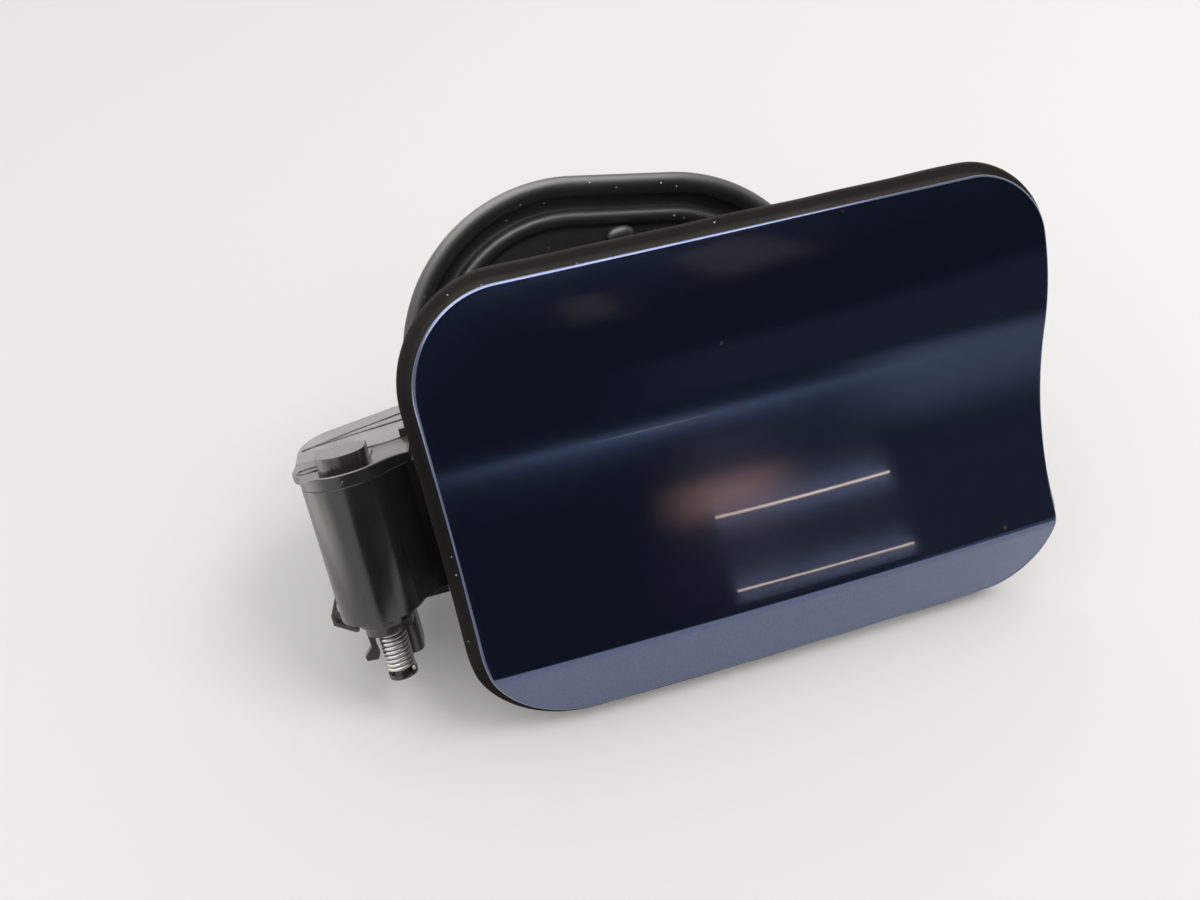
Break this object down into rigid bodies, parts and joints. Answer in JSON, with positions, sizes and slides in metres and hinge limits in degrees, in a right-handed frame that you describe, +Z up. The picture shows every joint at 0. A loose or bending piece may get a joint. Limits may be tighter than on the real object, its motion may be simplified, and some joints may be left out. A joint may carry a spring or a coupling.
{
  "type": "fuel filler flap with hinge and pot",
  "caption": "Painted fuel filler flap on a sprung side hinge, with a rubber pot behind it that seals to the car body and takes the filler neck.",
  "frame": {"origin": "centre of the filler neck's bore, in the front face of the pot's floor", "axes": "+X to the right along the flap, away from the hinge; +Y into the car body, along the filler neck; +Z up, parallel to the hinge, as in the picture"},
  "size_m": [0.2449, 0.1056, 0.1681],
  "materials": {
    "flap_paint": "dark navy metallic paint under clear coat",
    "backing_plastic": "moulded, fine grain",
    "hinge_plastic": "moulded, satin",
    "housing_plastic": "moulded, satin, dusty on top",
    "seal_rubber": "matte",
    "pot_rubber": "satin, lightly dusty",
    "bush_nylon": "smooth",
    "spring_wire": "drawn wire",
    "pin_steel": "ground",
    "screw_zinc": "zinc plated",
    "clip_steel": "blackened sheet"
  },
  "bodies": {
    "housing": {"filler_pot": "pot_rubber", "hinge_housing": "housing_plastic", "upper_bush": "bush_nylon", "lower_bush": "bush_nylon", "closing_spring": "spring_wire", "retaining_clip": "clip_steel", "drain_spigot": "backing_plastic", "pot_rivets": "hinge_plastic"},
    "flap": {"flap_panel": "flap_paint", "flap_backing": "backing_plastic", "rim_seal": "seal_rubber", "hinge_arm": "hinge_plastic", "hinge_pin": "pin_steel", "pin_cap": "hinge_plastic", "arm_screws": "screw_zinc", "latch_striker": "backing_plastic", "striker_screws": "screw_zinc", "upper_buffer": "seal_rubber", "lower_buffer": "seal_rubber", "cap_holder": "backing_plastic"}
  },
  "joints": [
    {"name": "flap_hinge", "type": "hinge", "parent": "housing", "child": "flap", "pos_m": [-0.0922, -0.0585, 0], "axis": [0, 0, -1], "range_deg": [0, 100], "stiffness_Nm_per_rad": 0.08, "springref_deg": -57.3}
  ]
}
